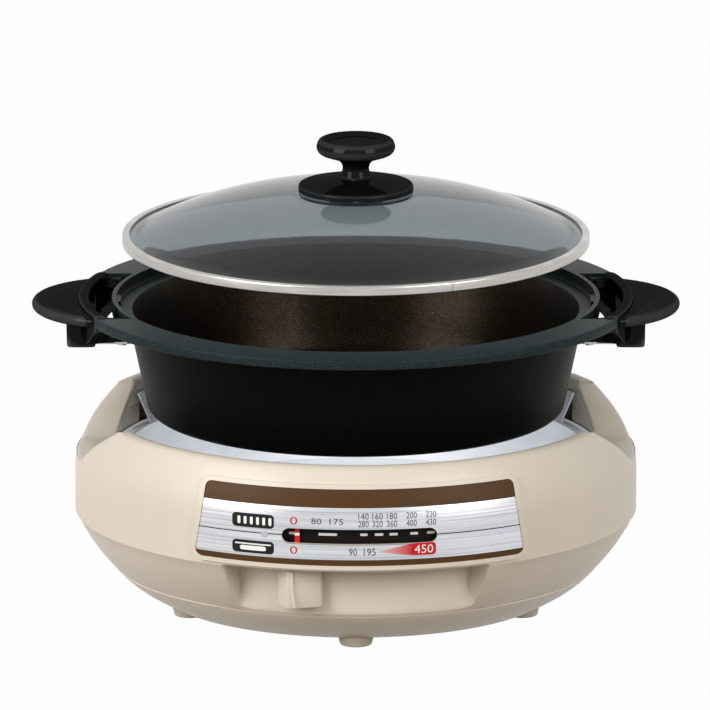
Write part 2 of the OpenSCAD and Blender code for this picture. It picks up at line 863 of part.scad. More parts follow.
module scale_strip() {
    color(black) rotate([0, 0, strip_turn]) union() {
        front_sector(strip_angle + strip_end)
            translate([strip_r, strip_z]) square([strip_t, strip_top - strip_z]);
        for (s = [-1, 1]) strip_stop(s);
    }
}

module pilot_lens() {
    color("#F2EFE6") pilot_bar(housing_r - pilot_root, housing_r + panel_t + 0.4, pilot_d);
}

module pilot_lamp() {
    color("#E8A060") pilot_bar(housing_r - pilot_root - 9, housing_r - pilot_root, pilot_d - 1);
}

// Heat lever
module thermostat_spindle() {
    low = bore_z + 0.5;
    color(steel) translate([0, 0, low]) cylinder(r = spindle_r, h = arm_z + arm_t + 2 - low);
}

module lever_arm() {
    out_l = tab_r + arm_t - riser_r;
    tab_z = grip_top - arm_tab;
    color(steel) lever_turn() difference() {
        union() {
            translate([0, 0, arm_z]) cylinder(r = hub_r, h = arm_t);
            translate([0, -arm_w/2, arm_z]) cube([riser_r + arm_t, arm_w, arm_t]);
            translate([riser_r, -arm_w/2, arm_z]) cube([arm_t, arm_w, arm_out_z + arm_t - arm_z]);
            translate([riser_r, -arm_w/2, arm_out_z]) cube([out_l, arm_w, arm_t]);
            translate([tab_r, -arm_w/2, tab_z]) cube([arm_t, arm_w, arm_out_z + arm_t - tab_z]);
        }
        translate([0, 0, arm_z - 1]) cylinder(r = spindle_r, h = arm_t + 2);
    }
}

module pointer() {
    base_z = arm_out_z + arm_t;
    tip_r = pointer_r + pointer_t - 0.05;
    blade_h = slot_z + slot_h/2 - 0.5 - base_z;
    color(red) lever_turn() translate([0, -pointer_w/2, base_z]) {
        translate([riser_r, 0, 0]) cube([tip_r - riser_r, pointer_w, pointer_t]);
        translate([pointer_r, 0, 0]) cube([tip_r - pointer_r, pointer_w, blade_h]);
    }
}

module lever_grip() {
    back = recess_r + grip_back;
    tip = recess_r + grip_reach;
    left = -grip_w*0.55;
    right = grip_w*0.45;
    ridge = -grip_w*0.2;
    outline = rounded(
        [[back, left], [back + 4, left], [tip, ridge - 2],
         [tip, ridge + 2], [back + 5, right], [back, right]],
        [0, 2, 2, 3, 2, 0]);
    color(beige) lever_turn() difference() {
        translate([0, 0, grip_z]) linear_extrude(grip_h) polygon(outline);
        translate([tab_r, -arm_w/2, grip_top - arm_tab]) cube([arm_t, arm_w, arm_tab + 1]);
    }
}

// Pan
pan_outer = rounded(
    [[0, 0], [flange_r, 0], [flange_r, -lip_h], [flange_r - lip_t, -lip_h], [flange_r - lip_t, -flange_t],
     [rim_out, -flange_t], [rim_out, -step_z], [wall_out(step_z), -step_z],
     [wall_out(pan_depth), -pan_depth], [0, -pan_depth]],
    [0, 2, 1, 1, 1.5, 0, 1.5, 2, pan_corner, 0]);
pan_inner = rounded(
    [[0, 1], [rim_r, 1], [rim_r, -ledge_drop], [ledge_r, -ledge_drop],
     [wall_in(pan_depth - pan_floor_t), pan_floor_t - pan_depth], [0, pan_floor_t - pan_depth]],
    [0, 0, 1, 1, pan_corner + 2, 0]);

module strap_screw_places() {
    for (y = [-1, 1]) {
        translate([(lug_in + lug_out)/2 + 3, y*strap_screw_y, -leg_drop]) children();
        translate([leg_x + leg_t/2 + 1, y*strap_screw_y, -leg_drop]) children();
    }
}

module flange_cut() {
    difference() {
        translate([0, -cut_w/2, -step_z]) cube([flange_r + 5, cut_w, step_z + 1]);
        translate([0, 0, -step_z - 1]) cylinder(r = rim_out, h = step_z + 3);
    }
}

module deep_pan() {
    color(black) translate([0, 0, pan_top]) union() {
        difference() {
            union() {
                rotate_extrude() polygon(pan_outer);
                both_sides() translate([lug_in, -strap_w/2, -leg_drop])
                    cube([lug_out - lug_in, strap_w, leg_drop - ledge_drop - 1]);
            }
            rotate_extrude() polygon(pan_inner);
            both_sides() flange_cut();
            both_sides() strap_screw_places()
                translate([0, 0, -1]) cylinder(r = screw_r, h = handle_screw_l + 2);
        }
        ring_of(6, rim_r - lug_t, 0) translate([0, -lug_w/2, -ledge_drop - 0.5])
            cube([lug_t + rim_t/2, lug_w, ledge_drop - 1]);
    }
}

module grip_plate() {
    edge = plate_t/2;
    profile = concat([[0, -plate_t]], arc_points([grip_round - edge, -edge], edge, -90, 90, 8), [[0, 0]]);
    translate([plate_x, 0, -plate_drop]) difference() {
        rotate_extrude() polygon(profile);
        translate([-plate_x, 0, -plate_t - 1]) cylinder(r = collar_in + collar_t/2, h = plate_t + 2);
    }
}

module handle_tray(low) {
    outline = [[tray_in, low], [collar_in + tray_lap, low],
               [collar_in + tray_lap, -plate_drop], [tray_in, -plate_drop]];
    difference() {
        sector(-45, 45) polygon(outline);
        translate([0, -pocket_w/2, -tray_drop]) cube([reach, pocket_w, tray_drop]);
    }
}

module handle_collar() {
    low = collar_rise - collar_h;
    outline = rounded(
        [[collar_in, low], [collar_out, low], [collar_out, collar_rise], [collar_in, collar_rise]],
        [1, 1, 2.5, 2.5]);
    under = concat(notch_line(-collar_gap), [[ear_far, -collar_h], [-ear_far, -collar_h]]);
    difference() {
        intersection() {
            union() {
                sector(-45, 45) polygon(outline);
                handle_tray(low + 1);
            }
            translate([0, -collar_w/2, -2*collar_h]) cube([reach, collar_w, 3*collar_h]);
        }
        translate([0, 0, -pan_seat]) along_notch(reach) polygon(under);
    }
}

module handle() {
    translate([0, 0, pan_top]) difference() {
        union() {
            grip_plate();
            handle_collar();
            translate([leg_x + leg_t/2, 0, -leg_drop])
                linear_extrude(leg_drop - plate_drop - plate_t/2) polygon(rounded_box(leg_t, leg_w, 4));
        }
        strap_screw_places() translate([0, 0, -1]) cylinder(r = screw_r, h = handle_screw_l + 2);
    }
}

module handle_left() {
    color(black) rotate([0, 0, 180]) handle();
}

module handle_right() {
    color(black) handle();
}

module strap() {
    l = strap_out - strap_in;
    translate([0, 0, pan_top]) difference() {
        translate([strap_in + l/2, 0, -leg_drop - strap_t])
            linear_extrude(strap_t) polygon(rounded_box(l, strap_w, 3));
        strap_screw_places() translate([0, 0, -strap_t - 1]) cylinder(r = screw_r, h = strap_t + 2);
    }
}

module strap_left() {
    color(steel) rotate([0, 0, 180]) strap();
}

module strap_right() {
    color(steel) strap();
}

module handle_screws() {
    color(steel) both_sides() translate([0, 0, pan_top]) strap_screw_places()
        translate([0, 0, -strap_t]) mirror([0, 0, 1]) screw(strap_t + handle_screw_l);
}

// Lid
function dome_z(r) = rim_top + lid_rise*(1 - pow(r/dome_r, dome_power))/(1 - seat_drop);
dome_steps = 12;
dome_line = concat(
    [[0, knob_z]],
    [for (i = [0:dome_steps]) let (r = knob_seat_r + (dome_r - knob_seat_r)*i/dome_steps) [r, dome_z(r)]],
    [[glass_r, rim_top]]);

module on_lid() {
    translate([0, 0, lid_z]) children();
}

module lid_glass() {
    color(glass) on_lid() difference() {
        rotate_extrude() polygon(sheet(dome_line, -glass_t));
        translate([0, 0, knob_z - 2*glass_t]) cylinder(r = knob_bolt_r, h = 3*glass_t);
    }
}

module lid_band() {
    inner = lid_r - band_lap;
    outline = rounded(
        [[inner, 0], [lid_r, 0], [lid_r, band_h], [inner, band_h], [inner, rim_top],
         [glass_r, rim_top], [glass_r, band_t], [inner, band_t]],
        [0.4, 1.2, 1.2, 0.4, 0, 0, 0, 0]);
    color(steel) on_lid() rotate_extrude() polygon(outline);
}

module knob_base() {
    top = knob_z + knob_base_h;
    outline = rounded(
        [[knob_bolt_r, knob_z], [knob_base_r, knob_z], [knob_base_r, knob_z + knob_edge_h],
         [stem_r + 4, top - 1], [stem_r + 1.8, top], [knob_bolt_r, top]],
        [0, 1, 2, 2, 0.5, 0]);
    color(black) on_lid() rotate_extrude() polygon(outline);
}

module knob_cap() {
    low = knob_z + knob_base_h;
    top = low + cap_h;
    neck = low + cap_h*0.42;
    outline = concat(
        [[knob_bolt_r, low]],
        corner([[0, low], [stem_r + 1.6, low], [stem_r, neck]], 1, 0.6),
        corner([[stem_r, low], [stem_r, neck], [cap_r, neck + cap_h*0.24]], 1, 7),
        corner([[stem_r, neck], [cap_r, neck + cap_h*0.24], [cap_r - 1.5, top]], 1, cap_round),
        corner([[cap_r, neck], [cap_r - 1.5, top], [0, top]], 1, 0.75*cap_round),
        corner([[cap_r, top], [cap_r - 6, top], [cap_r - 10, top - cap_dish]], 1, 2),
        corner([[cap_r - 6, top], [cap_r - 10, top - cap_dish], [0, top - cap_dish]], 1, 4),
        [[0, top - cap_dish], [0, low + bolt_l - knob_base_h], [knob_bolt_r, low + bolt_l - knob_base_h]]);
    color(black) on_lid() rotate_extrude() polygon(outline);
}

module knob_gasket() {
    z = knob_z - glass_t - gasket_t;
    color("#55585A") on_lid() translate([0, 0, z]) difference() {
        cylinder(r = washer_d/2 - 1, h = gasket_t);
        translate([0, 0, -1]) cylinder(r = knob_bolt_r, h = gasket_t + 2);
    }
}

module knob_washer() {
    z = knob_z - glass_t - gasket_t - washer_t;
    color(steel) on_lid() translate([0, 0, z]) difference() {
        cylinder(r = washer_d/2, h = washer_t);
        translate([0, 0, -1]) cylinder(r = knob_bolt_r, h = washer_t + 2);
    }
}

module knob_screw() {
    z = knob_z - glass_t - gasket_t - washer_t;
    color(steel) on_lid() translate([0, 0, z]) {
        translate([0, 0, -bolt_head_h]) cylinder(r = bolt_head_r, h = bolt_head_h);
        translate([0, 0, -1]) cylinder(r = knob_bolt_r, h = knob_z - z + bolt_l + 1);
    }
}

base_shell();
bottom_cover();
feet();
cover_screws();
reflector_dish();
heat_guard();
heat_shield();
dish_screws();
heating_element();
heater_pins();
sensor_holder();
sensor_spring();
sensor_cap();
thermostat();
thermal_fuse();
terminal_block();
supply_leads();
inlet_socket();
inlet_pins();
control_panel();
scale_strip();
pilot_lens();
pilot_lamp();
thermostat_spindle();
lever_arm();
pointer();
lever_grip();
deep_pan();
handle_left();
handle_right();
strap_left();
strap_right();
handle_screws();
lid_glass();
lid_band();
knob_base();
knob_cap();
knob_gasket();
knob_washer();
knob_screw();
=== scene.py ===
import json
import math

import bmesh
import bpy
from mathutils import Matrix, Vector


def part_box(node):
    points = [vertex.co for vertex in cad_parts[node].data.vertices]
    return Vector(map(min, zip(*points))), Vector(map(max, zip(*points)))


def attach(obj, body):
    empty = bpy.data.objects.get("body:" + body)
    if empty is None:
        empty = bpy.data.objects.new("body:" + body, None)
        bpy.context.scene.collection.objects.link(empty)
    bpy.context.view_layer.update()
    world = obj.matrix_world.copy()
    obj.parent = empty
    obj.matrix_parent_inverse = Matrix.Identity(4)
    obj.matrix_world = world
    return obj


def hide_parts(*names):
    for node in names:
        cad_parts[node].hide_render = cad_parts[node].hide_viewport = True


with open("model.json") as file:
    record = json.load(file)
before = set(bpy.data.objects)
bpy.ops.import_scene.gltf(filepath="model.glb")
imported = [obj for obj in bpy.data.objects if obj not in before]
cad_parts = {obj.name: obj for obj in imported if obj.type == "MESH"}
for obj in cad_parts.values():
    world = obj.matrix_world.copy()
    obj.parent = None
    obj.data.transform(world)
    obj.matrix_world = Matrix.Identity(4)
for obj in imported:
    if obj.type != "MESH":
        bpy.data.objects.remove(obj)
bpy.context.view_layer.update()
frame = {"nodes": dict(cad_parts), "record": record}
nodes = frame["nodes"]
mm = 0.001
print("frame loaded,", len(nodes), "nodes")


# Camera, at the photograph's angle and scale
camera = {
    "frame": 710,           # pixels across the picture
    "pixel": 0.70 * mm,     # size of one pixel at the middle of the object
    "distance": 20.0,       # far off, so that the picture has hardly any perspective
    "reach": 50,            # nothing farther than this is drawn
    "elevation": 13.5,
    "aim": 177.9 * mm,      # height in the middle of the picture
    "side": -0.6 * mm,
    "sensor": 36,
}


def makeCamera():
    data = bpy.data.cameras.new("studioCamera")
    data.sensor_width = camera["sensor"]
    data.lens = camera["sensor"] * camera["distance"] / (camera["frame"] * camera["pixel"])
    data.clip_end = camera["reach"]
    obj = bpy.data.objects.new("studioCamera", data)
    bpy.context.scene.collection.objects.link(obj)
    tilt = math.radians(camera["elevation"])
    obj.location = (
        camera["side"],
        -camera["distance"] * math.cos(tilt),
        camera["aim"] + camera["distance"] * math.sin(tilt),
    )
    obj.rotation_euler = (math.pi / 2 - tilt, 0, 0)
    bpy.context.scene.camera = obj


makeCamera()
print("camera made")


# Small helpers for materials
def hexColour(code):
    parts = [int(code[i:i + 2], 16) / 255 for i in (1, 3, 5)]
    linear = [p / 12.92 if p <= 0.04045 else ((p + 0.055) / 1.055) ** 2.4 for p in parts]
    return (*linear, 1)


def perMetre(size):     # texture scale for a pattern of that size in millimetres
    return 1 / (size * mm)


def linkAll(tree, node, links):     # a source is a socket, or a node that gives its first output
    for key, source in links.items():
        socket = source.outputs[0] if hasattr(source, "outputs") else source
        tree.links.new(socket, node.inputs[key])


def addNode(tree, kind, settings=None, links=None):
    node = tree.nodes.new("ShaderNode" + kind)
    for key, value in (settings or {}).items():
        if key == "stops":      # places and colours along a colour ramp
            stops = node.color_ramp.elements
            for i, (place, code) in enumerate(value):
                stop = stops[i] if i < len(stops) else stops.new(place)
                stop.position, stop.color = place, hexColour(code)
        elif isinstance(key, int) or key in node.inputs:
            node.inputs[key].default_value = value
        else:
            setattr(node, key, value)
    linkAll(tree, node, links or {})
    return node


def newMaterial(name, settings):
    material = bpy.data.materials.new(name)
    material.use_nodes = True
    tree = material.node_tree
    shader = tree.nodes["Principled BSDF"]
    for key, value in settings.items():
        shader.inputs[key].default_value = value
    coords = addNode(tree, "TexCoord").outputs["Object"]
    return material, tree, shader, coords


# Materials: pattern sizes are in millimetres, and low and high are the two ends of a tone's drift
def mouldedPlastic(name, low, high, rough, grain, gloss=0.3):
    # Pressed in a spark-eroded mould: satin, with a fine even grain and a slight drift of tone.
    # The real grain is finer than a pixel, so it is drawn coarser.
    material, tree, shader, coords = newMaterial(name, {"Specular IOR Level": gloss})
    drift = addNode(tree, "TexNoise", {"Scale": perMetre(45), "Detail": 3}, {"Vector": coords})
    pits = addNode(tree, "TexNoise", {"Scale": perMetre(grain), "Detail": 2}, {"Vector": coords})
    sheen = {"To Min": rough - 0.06, "To Max": rough + 0.06}
    linkAll(tree, shader, {
        "Base Color": addNode(tree, "ValToRGB", {"stops": [(0, low), (1, high)]}, {"Fac": drift}),
        "Roughness": addNode(tree, "MapRange", sheen, {"Value": pits}),
        "Normal": addNode(tree, "Bump", {"Strength": 1, "Distance": 0.02 * mm}, {"Height": pits}),
    })
    return material


def spunAluminium(name, low, high, rough, metal):
    # Sheet turned on a lathe: rings round the middle, drawn coarser than the tool leaves them,
    # with a soft cloudy shine
    material, tree, shader, coords = newMaterial(name, {"Metallic": metal})
    flat = addNode(tree, "VectorMath", {"operation": "MULTIPLY", 1: (1, 1, 0)}, {0: coords})
    radius = addNode(tree, "VectorMath", {"operation": "LENGTH"}, {0: flat})
    rings = addNode(tree, "TexNoise", {"noise_dimensions": "1D", "Scale": perMetre(1.4), "Detail": 4},
                    {"W": radius.outputs["Value"]})
    clouds = addNode(tree, "TexNoise", {"Scale": perMetre(30), "Detail": 4}, {"Vector": coords})
    both = addNode(tree, "Math", {"operation": "MULTIPLY"}, {0: rings, 1: clouds})
    sheen = {"To Min": rough - 0.08, "To Max": rough + 0.1}
    linkAll(tree, shader, {
        "Base Color": addNode(tree, "ValToRGB", {"stops": [(0, low), (0.5, high)]}, {"Fac": both}),
        "Roughness": addNode(tree, "MapRange", sheen, {"Value": rings}),
        "Normal": addNode(tree, "Bump", {"Strength": 1, "Distance": 0.01 * mm}, {"Height": rings}),
    })
    return material


def brushedMetal(name, low, high, rough, stretch, strand):
    # Rolled and brushed sheet: long hair lines one way, drawn wider than real ones so that they show
    material, tree, shader, coords = newMaterial(name, {"Metallic": 1})
    lines = addNode(tree, "Mapping", {"Scale": stretch}, {"Vector": coords})
    hair = addNode(tree, "TexNoise", {"Scale": perMetre(strand), "Detail": 5}, {"Vector": lines})
    sheen = {"To Min": rough - 0.08, "To Max": rough + 0.08}
    linkAll(tree, shader, {
        "Base Color": addNode(tree, "ValToRGB", {"stops": [(0.3, low), (0.7, high)]}, {"Fac": hair}),
        "Roughness": addNode(tree, "MapRange", sheen, {"Value": hair}),
        "Normal": addNode(tree, "Bump", {"Strength": 1, "Distance": 0.006 * mm}, {"Height": hair}),
    })
    return material


def printedInk(name, low, high, rough):
    # Screen ink: flat colour with the faint orange peel of a printed film
    material, tree, shader, coords = newMaterial(name, {"Specular IOR Level": 0.12})
    film = addNode(tree, "TexNoise", {"Scale": perMetre(3), "Detail": 3}, {"Vector": coords})
    sheen = {"To Min": rough - 0.05, "To Max": rough + 0.05}
    linkAll(tree, shader, {
        "Base Color": addNode(tree, "ValToRGB", {"stops": [(0, low), (1, high)]}, {"Fac": film}),
        "Roughness": addNode(tree, "MapRange", sheen, {"Value": film}),
    })
    return material


def fadingInk(name, pale, full, start, end):
    # Halftone print: the same ink, in dots too fine to see, that close up along the mark
    material, tree, shader, coords = newMaterial(name, {"Specular IOR Level": 0.12, "Roughness": 0.45})
    across = addNode(tree, "SeparateXYZ", links={"Vector": coords})
    share = addNode(tree, "MapRange", {"From Min": start * mm, "From Max": end * mm}, {"Value": across})
    linkAll(tree, shader, {
        "Base Color": addNode(tree, "ValToRGB", {"stops": [(0, pale), (1, full)]}, {"Fac": share}),
    })
    return material


def nonStickCoat(name, low, high, gloss, metal, rough, flake):
    # Sprayed fluoropolymer on cast aluminium: near black, with a soft peel and a mineral sparkle
    # whose flakes are drawn larger than real ones so that they show
    material, tree, shader, coords = newMaterial(name, {"Specular IOR Level": gloss, "Metallic": metal})
    flakes = addNode(tree, "TexNoise", {"Scale": perMetre(flake), "Detail": 2}, {"Vector": coords})
    sheen = {"To Min": rough - 0.08, "To Max": rough + 0.08}
    linkAll(tree, shader, {
        "Base Color": addNode(tree, "ValToRGB", {"stops": [(0.52, low), (0.85, high)]}, {"Fac": flakes}),
        "Roughness": addNode(tree, "MapRange", sheen, {"Value": flakes}),
        "Normal": addNode(tree, "Bump", {"Strength": 1, "Distance": 0.03 * mm}, {"Height": flakes}),
    })
    return material


def blackPhenolic():
    # Pressed phenolic resin, polished by the mould: deep gloss with a faint flow pattern
    material, tree, shader, coords = newMaterial("blackPhenolic", {
        "Specular IOR Level": 0, "Coat Weight": 0.03, "Coat IOR": 2.6, "Coat Roughness": 0.06})
    flow = addNode(tree, "TexNoise", {"Scale": perMetre(18), "Detail": 4, "Distortion": 1},
                   {"Vector": coords})
    tone = addNode(tree, "ValToRGB", {"stops": [(0, "#08090A"), (1, "#111314")]}, {"Fac": flow})
    # Painted highlight: the rims are drawn paler than the faces, for the light that their rounds catch
    rim = addNode(tree, "NewGeometry").outputs["Pointiness"]
    paintedRimHighlight = addNode(tree, "MapRange", {"From Min": 0.515, "From Max": 0.6}, {"Value": rim})
    linkAll(tree, shader, {
        "Base Color": addNode(tree, "MixRGB", {"Color2": hexColour("#6A6E70")},
                              {"Fac": paintedRimHighlight, "Color1": tone}),
        "Roughness": addNode(tree, "MapRange", {"To Min": 0.14, "To Max": 0.24}, {"Value": flow}),
    })
    return material


def toughenedGlass():
    # Pressed glass with a smoky grey tint: clear where seen face on, and dark where the line of sight
    # runs along the sheet, partly from the longer path through the tint and partly as a painted dark
    # reflection
    material, tree, shader, coords = newMaterial("toughenedGlass", {
        "Transmission Weight": 1, "IOR": 1.25, "Specular IOR Level": 0.04})
    slant = addNode(tree, "LayerWeight", {"Blend": 0.5}).outputs["Facing"]
    smokeAndPaintedEdgeDark = [(0, "#B9C1C5"), (0.6, "#5A6367"), (1, "#16191A")]
    wipes = addNode(tree, "TexNoise", {"Scale": perMetre(25), "Detail": 3}, {"Vector": coords})
    linkAll(tree, shader, {
        "Base Color": addNode(tree, "ValToRGB", {"stops": smokeAndPaintedEdgeDark}, {"Fac": slant}),
        "Roughness": addNode(tree, "MapRange", {"To Min": 0.0, "To Max": 0.05}, {"Value": wipes}),
    })
    return material


def neonGlass():
    # Small neon lamp: warm glass
    material, tree, shader, coords = newMaterial("neonGlass", {"Transmission Weight": 0.6, "Roughness": 0.1})
    gas = addNode(tree, "TexNoise", {"Scale": perMetre(3)}, {"Vector": coords})
    linkAll(tree, shader, {
        "Base Color": addNode(tree, "ValToRGB", {"stops": [(0, "#D98A50"), (1, "#F0B27C")]}, {"Fac": gas}),
    })
    return material


# Hair lines run along the axes where the pattern is drawn out, which have the small scales
hairRun = {
    "upright": (1, 1, 0.05), "short": (1, 1, 0.2),
    "round": (0.02, 0.02, 1), "level": (0.008, 0.008, 1),
}
finish = {
    "housing_plastic": mouldedPlastic("satinAbs", "#DBCFBE", "#E2D8C8", rough=0.38, grain=0.8),
    "foot_plastic": mouldedPlastic("mattAbs", "#CFC2AF", "#D6CAB8", rough=0.55, grain=0.8),
    "liner_aluminium": spunAluminium("spunAluminium", "#DDE1E8", "#F4F6F9", rough=0.45, metal=0.3),
    "sensor_aluminium": spunAluminium("turnedAluminium", "#A9ABAD", "#C6C8CA", rough=0.3, metal=1),
    "heater_steel": brushedMetal("heatedSteel", "#5A5550", "#7C766F", 0.45, hairRun["upright"], 0.6),
    "screw_steel": brushedMetal("zincPlatedSteel", "#A9A9A6", "#C9C9C6", 0.35, hairRun["short"], 0.8),
    "insulator_ceramic": mouldedPlastic("unglazedCeramic", "#E2DDD3", "#EEEAE2", rough=0.7, grain=0.5),
    "lead_cover": mouldedPlastic("glassFibreSleeve", "#AFA998", "#C2BCAD", rough=0.8, grain=0.4),
    "black_plastic": mouldedPlastic("blackNylon", "#141415", "#1D1D1F", rough=0.5, grain=0.6),
    "panel_aluminium": brushedMetal("brushedAluminium", "#B6B9BD", "#E2E4E6", 0.27, hairRun["level"], 1.1),
    "scale_plastic": mouldedPlastic("scaleAbs", "#171414", "#1F1B1C", rough=0.45, grain=0.6, gloss=0.06),
    "lens_plastic": mouldedPlastic("cloudedPolycarbonate", "#B4B9C0", "#C2C7CD", rough=0.3, grain=0.8),
    "lamp_glass": neonGlass(),
    "pointer_plastic": mouldedPlastic("redAbs", "#C01822", "#D2242E", rough=0.35, grain=0.6),
    "pan_coating": nonStickCoat("nonStickCoat", "#060605", "#1D1A15",
                                gloss=0.03, metal=0, rough=0.44, flake=0.9),
    "handle_phenolic": blackPhenolic(),
    "lid_glass": toughenedGlass(),
    "band_steel": brushedMetal("satinSteel", "#A8A5A1", "#C9C6C2", 0.3, hairRun["round"], 0.5),
    "gasket_silicone": mouldedPlastic("greySilicone", "#4A4D4F", "#5A5D5F", rough=0.6, grain=0.6),
}
print("materials made,", len(finish))

slotOf = {s["node"]: s["material_slot"] for s in frame["record"]["subparts"]}
bodyOf = {n: b for b, members in frame["record"]["behaviour"]["bodies"].items() for n in members}
for name, obj in nodes.items():
    obj.data.materials.clear()
    obj.data.materials.append(finish[slotOf[name]])


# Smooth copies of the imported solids
copies = {
    "weld": 0.002,          # vertices closer than this are one
    "flat": 0.2,            # facets within so many degrees are one face
    "ring": 600,            # a face with a longer edge than this runs round the object
    "crease": 30,           # edges sharper than so many degrees stay sharp
    "corner": 35,           # edges sharper than this get the small round of a mould or a press
    "rounds": {"lever_grip": 0.7, "feet": 0.8},
    "nodes": [
        "base_shell", "reflector_dish", "heat_guard", "deep_pan", "handle_left", "handle_right",
        "lid_glass", "lid_band", "knob_base", "knob_cap", "lever_grip", "feet", "bottom_cover",
    ],
}


def meshFromNode(name):
    bm = bmesh.new()
    bm.from_mesh(nodes[name].data)
    bmesh.ops.remove_doubles(bm, verts=bm.verts, dist=copies["weld"] * mm)
    if name != "lid_glass":     # the dome keeps its even facets, for a clean reflection
        bmesh.ops.dissolve_limit(bm, angle_limit=math.radians(copies["flat"]), verts=bm.verts, edges=bm.edges)
    # A flat ring is split again, because a face that runs round a hole may close over it
    wide = [f for f in bm.faces if len(f.verts) > 4 and f.calc_perimeter() > copies["ring"] * mm]
    bmesh.ops.triangulate(bm, faces=wide)
    return bm


def softenEdges(bm, angle):
    for face in bm.faces:
        face.smooth = True
    for edge in bm.edges:
        edge.smooth = edge.calc_face_angle(math.pi) < math.radians(angle)


def bevelSharp(bm, angle, width):
    sharp = [e for e in bm.edges if e.is_manifold and e.calc_face_angle(0) > math.radians(angle)]
    bmesh.ops.bevel(bm, geom=sharp, offset=width * mm, offset_type="OFFSET", segments=2, profile=0.5,
                    affect="EDGES", clamp_overlap=True, material=-1)


def pieceFrom(name, bm, materials, body):
    mesh = bpy.data.meshes.new(name)
    bm.to_mesh(mesh)
    bm.free()
    for material in materials:
        mesh.materials.append(material)
    obj = bpy.data.objects.new(name, mesh)
    bpy.context.scene.collection.objects.link(obj)
    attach(obj, body)
    return obj


# Pan: one coat in three copies: warm outside, greyer on the flange and ledge as a painted sheen, and metallic
# with more sparkle inside
pan = {
    "flange": 27.5,         # width of the flange
    "lip": 9,               # depth of its turned edge
    "ledge": 14,            # depth of the lid's ledge
    "level": 0.5,           # a face with more of its normal upwards than this is a floor
    "paintedSheenCoat": nonStickCoat("nonStickRimPaintedSheen", "#1B2426", "#46524F", gloss=0.08, metal=0, rough=0.44, flake=0.9),
    "insideCoat": nonStickCoat("nonStickInside", "#1C1812", "#564B3A",
                               gloss=0.1, metal=0.9, rough=0.3, flake=0.6),
}


def coatPan(bm):
    low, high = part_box("deep_pan")
    rim = high[1] - pan["flange"] * mm
    for face in bm.faces:
        near = min((v.co for v in face.verts), key=lambda co: co.xy.length)
        inward = face.normal.xy.dot(near.xy) < 0
        # The flange, its lip and the lid's ledge take the greyer copy, with its painted sheen
        if near.z > high[2] - pan["lip"] * mm and near.xy.length > rim:
            face.material_index = 1
        elif near.xy.length < rim and (inward or face.normal.z > pan["level"]):
            face.material_index = 1 if near.z > high[2] - pan["ledge"] * mm else 2


# Soft rounds on the rims of the housing's notches and recess, and on the handles
rims = {
    "angle": 30,            # rims are sharper than so many degrees
    "merge": 0.32,          # share of the round's width under which an edge is too short for it
    "weld": 0.07,           # share of the width under which the round's own vertices are one
    "sliver": 0.01,
    "segments": 4,
    "passes": 4,            # times that the round is smoothed
    "areas": {              # low corner, high corner and width of the round
        "base_shell": [
            ((-230, -85, 82), (-150, 85, 140), 2.2),
            ((150, -85, 82), (230, 85, 140), 2.2),
            ((-105, -215, 25), (105, -140, 71), 1.2),
        ],
        "handle_left": [((-260, -100, 100), (-100, 100, 260), 0.7)],
        "handle_right": [((100, -100, 100), (260, 100, 260), 0.7)],
    },
}


def findRims(bm, low, high):
    return [e for e in bm.edges
            if e.is_manifold and e.is_convex and e.calc_face_angle(0) > math.radians(rims["angle"])
            and all(low[i] < v.co[i] / mm < high[i] for v in e.verts for i in range(3))]


def roundRims(bm, low, high, width):
    # Short edges are merged first, because a round can't be wider than the edge next to it
    ends = {v for e in findRims(bm, low, high) for v in e.verts}
    bmesh.ops.remove_doubles(bm, verts=[v for v in bm.verts if v in ends], dist=rims["merge"] * width * mm)
    bmesh.ops.dissolve_degenerate(bm, edges=bm.edges, dist=rims["sliver"] * mm)
    made = bmesh.ops.bevel(bm, geom=findRims(bm, low, high), offset=width * mm, offset_type="OFFSET",
                           segments=rims["segments"], profile=0.5, affect="EDGES", clamp_overlap=False,
                           loop_slide=True, material=-1)
    bmesh.ops.remove_doubles(bm, verts=made["verts"], dist=rims["weld"] * width * mm)
    made = {v for f in made["faces"] if f.is_valid for v in f.verts}
    band = [v for v in bm.verts if v in made]
    for i in range(rims["passes"]):
        bmesh.ops.smooth_vert(bm, verts=band, factor=0.5, use_axis_x=True, use_axis_y=True, use_axis_z=True)


pieces = {}
for name in copies["nodes"]:
    bm = meshFromNode(name)
    if name in copies["rounds"]:
        bevelSharp(bm, copies["corner"], copies["rounds"][name])
    for area in rims["areas"].get(name, []):
        roundRims(bm, *area)
    softenEdges(bm, copies["crease"])
    coats = [finish[slotOf[name]]]
    if name == "deep_pan":
        coatPan(bm)
        coats += [pan["paintedSheenCoat"], pan["insideCoat"]]
    pieces[name] = pieceFrom(name + "_smooth", bm, coats, bodyOf[name])
    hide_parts(name)
print("smooth copies made,", len(pieces))


# Front panel: brushed plate with a brown band above and below
panel = {
    "radius": 197.3,        # outer face round the belt
    "bendZ": 99.3,          # height where the face starts to lean back
    "bendR": 70.8,
    "topBand": 115.4,       # lower edge of the upper brown band
    "lowBand": 78.7,        # upper edge of the lower brown band
    "cutsAcross": range(-112, 120, 4),
    "cutsUp": range(78, 129, 3),
    "near": 0.25,           # a vertex this close to the outer face is drawn onto it
    "weld": 0.001,
}
inks = {
    "brown": printedInk("brownInk", "#4E331B", "#543A20", rough=0.45),
    "black": printedInk("blackInk", "#1D1B1C", "#242122", rough=0.4),
    "grey": printedInk("greyInk", "#38383B", "#424246", rough=0.45),
    "red": printedInk("redInk", "#C91C26", "#D0232C", rough=0.4),
    "fade": fadingInk("redHalftone", "#DDB9B8", "#CC1F29", start=16, end=40),
    "white": printedInk("whiteInk", "#F2F2F0", "#FAFAF8", rough=0.45),
}


def panelRadius(z):
    rise = max(0, z - panel["bendZ"])
    return panel["radius"] - panel["bendR"] + math.sqrt(panel["bendR"] ** 2 - rise ** 2)


